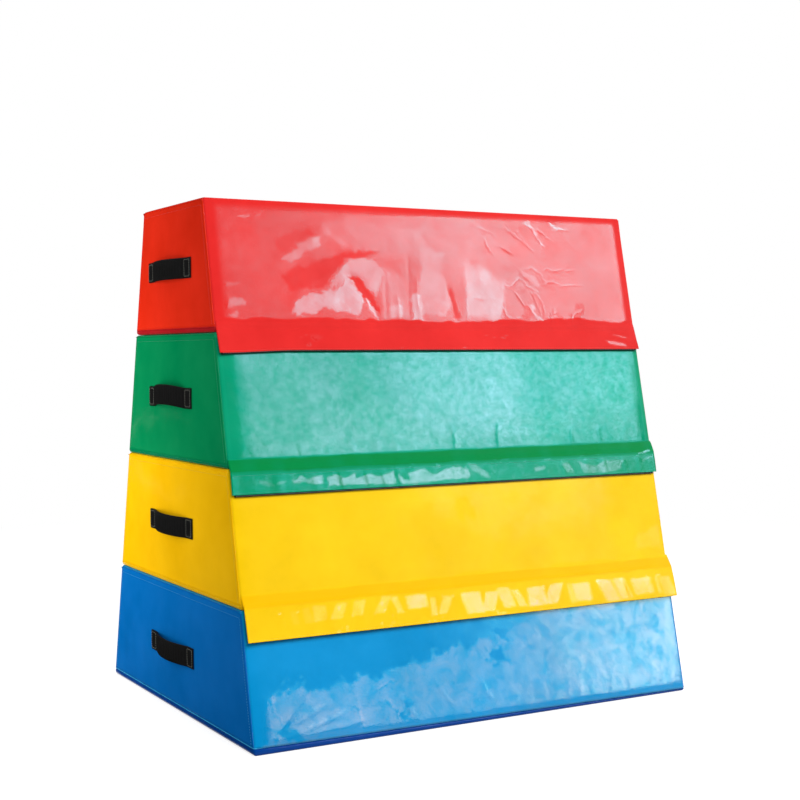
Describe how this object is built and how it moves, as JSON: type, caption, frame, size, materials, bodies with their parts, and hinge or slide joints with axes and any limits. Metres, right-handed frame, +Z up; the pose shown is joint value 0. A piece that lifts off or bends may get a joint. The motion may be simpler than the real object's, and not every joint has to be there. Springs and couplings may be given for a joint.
{
  "type": "vaulting box",
  "caption": "Soft stacking vaulting box: foam sections in coated-fabric covers taper to a flat top, joined by hook-and-loop flaps, with webbing carry handles and zips.",
  "frame": {"origin": "middle of the underside, on the floor", "axes": "+Z up, +X along the length, front long wall towards -Y, zips on the wall towards +Y"},
  "size_m": [1.0294, 0.7668, 0.9996],
  "materials": {
    "red_cover": "glossy PVC-coated fabric",
    "green_cover": "glossy PVC-coated fabric",
    "yellow_cover": "glossy PVC-coated fabric",
    "blue_cover": "glossy PVC-coated fabric",
    "red_base": "PVC-coated fabric",
    "green_base": "PVC-coated fabric",
    "yellow_base": "PVC-coated fabric",
    "blue_base": "PVC-coated fabric",
    "foam": "open-cell foam",
    "webbing": "woven polypropylene",
    "hook_and_loop": "matt nap",
    "zip_tape": "woven tape with moulded teeth",
    "zip_metal": "nickel plated"
  },
  "bodies": {
    "blue_section": {"blue_foam_core": "foam", "blue_wrap_cover": "blue_cover", "blue_base_panel": "blue_base", "blue_left_end_panel": "blue_cover", "blue_right_end_panel": "blue_cover", "blue_left_handle": "webbing", "blue_right_handle": "webbing", "blue_front_loop_strip": "hook_and_loop", "blue_zip_tape": "zip_tape"},
    "yellow_section": {"yellow_foam_core": "foam", "yellow_wrap_cover": "yellow_cover", "yellow_base_panel": "yellow_base", "yellow_left_end_panel": "yellow_cover", "yellow_right_end_panel": "yellow_cover", "yellow_left_handle": "webbing", "yellow_right_handle": "webbing", "yellow_front_loop_strip": "hook_and_loop", "yellow_zip_tape": "zip_tape"},
    "green_section": {"green_foam_core": "foam", "green_wrap_cover": "green_cover", "green_base_panel": "green_base", "green_left_end_panel": "green_cover", "green_right_end_panel": "green_cover", "green_left_handle": "webbing", "green_right_handle": "webbing", "green_front_loop_strip": "hook_and_loop", "green_zip_tape": "zip_tape"},
    "red_section": {"red_foam_core": "foam", "red_wrap_cover": "red_cover", "red_base_panel": "red_base", "red_left_end_panel": "red_cover", "red_right_end_panel": "red_cover", "red_left_handle": "webbing", "red_right_handle": "webbing", "red_zip_tape": "zip_tape"},
    "yellow_front_flap": {"yellow_front_flap": "yellow_cover", "yellow_front_hook_strip": "hook_and_loop"},
    "green_front_flap": {"green_front_flap": "green_cover", "green_front_hook_strip": "hook_and_loop"},
    "red_front_flap": {"red_front_flap": "red_cover", "red_front_hook_strip": "hook_and_loop"},
    "blue_zip_slider": {"blue_zip_slider": "zip_metal"},
    "yellow_zip_slider": {"yellow_zip_slider": "zip_metal"},
    "green_zip_slider": {"green_zip_slider": "zip_metal"},
    "red_zip_slider": {"red_zip_slider": "zip_metal"},
    "blue_zip_pull": {"blue_zip_pull": "zip_metal"},
    "yellow_zip_pull": {"yellow_zip_pull": "zip_metal"},
    "green_zip_pull": {"green_zip_pull": "zip_metal"},
    "red_zip_pull": {"red_zip_pull": "zip_metal"}
  },
  "joints": [
    {"name": "yellow_lift", "type": "slide", "parent": "blue_section", "child": "yellow_section", "axis": [0, 0, 1], "range_m": [0, 0.15]},
    {"name": "green_lift", "type": "slide", "parent": "yellow_section", "child": "green_section", "axis": [0, 0, 1], "range_m": [0, 0.15]},
    {"name": "red_lift", "type": "slide", "parent": "green_section", "child": "red_section", "axis": [0, 0, 1], "range_m": [0, 0.15]},
    {"name": "yellow_front_flap_hinge", "type": "hinge", "parent": "yellow_section", "child": "yellow_front_flap", "pos_m": [0, -0.32804, 0.26541], "axis": [-1, 0, 0], "range_deg": [0, 150]},
    {"name": "green_front_flap_hinge", "type": "hinge", "parent": "green_section", "child": "green_front_flap", "pos_m": [0, -0.27242, 0.51541], "axis": [-1, 0, 0], "range_deg": [0, 150]},
    {"name": "red_front_flap_hinge", "type": "hinge", "parent": "red_section", "child": "red_front_flap", "pos_m": [0, -0.21679, 0.76541], "axis": [-1, 0, 0], "range_deg": [0, 150]},
    {"name": "blue_zip_slide", "type": "slide", "parent": "blue_section", "child": "blue_zip_slider", "axis": [-1, 0, 0], "range_m": [0, 0.858]},
    {"name": "yellow_zip_slide", "type": "slide", "parent": "yellow_section", "child": "yellow_zip_slider", "axis": [-1, 0, 0], "range_m": [0, 0.858]},
    {"name": "green_zip_slide", "type": "slide", "parent": "green_section", "child": "green_zip_slider", "axis": [-1, 0, 0], "range_m": [0, 0.858]},
    {"name": "red_zip_slide", "type": "slide", "parent": "red_section", "child": "red_zip_slider", "axis": [-1, 0, 0], "range_m": [0, 0.858]},
    {"name": "blue_zip_pull_hinge", "type": "hinge", "parent": "blue_zip_slider", "child": "blue_zip_pull", "pos_m": [0.429, 0.37728, 0.07111], "axis": [0, 0.1852, -0.9827], "range_deg": [0, 170]},
    {"name": "yellow_zip_pull_hinge", "type": "hinge", "parent": "yellow_zip_slider", "child": "yellow_zip_pull", "pos_m": [0.429, 0.32165, 0.32111], "axis": [0, 0.1852, -0.9827], "range_deg": [0, 170]},
    {"name": "green_zip_pull_hinge", "type": "hinge", "parent": "green_zip_slider", "child": "green_zip_pull", "pos_m": [0.429, 0.26603, 0.57111], "axis": [0, 0.1852, -0.9827], "range_deg": [0, 170]},
    {"name": "red_zip_pull_hinge", "type": "hinge", "parent": "red_zip_slider", "child": "red_zip_pull", "pos_m": [0.429, 0.2104, 0.82111], "axis": [0, 0.1852, -0.9827], "range_deg": [0, 170]}
  ]
}
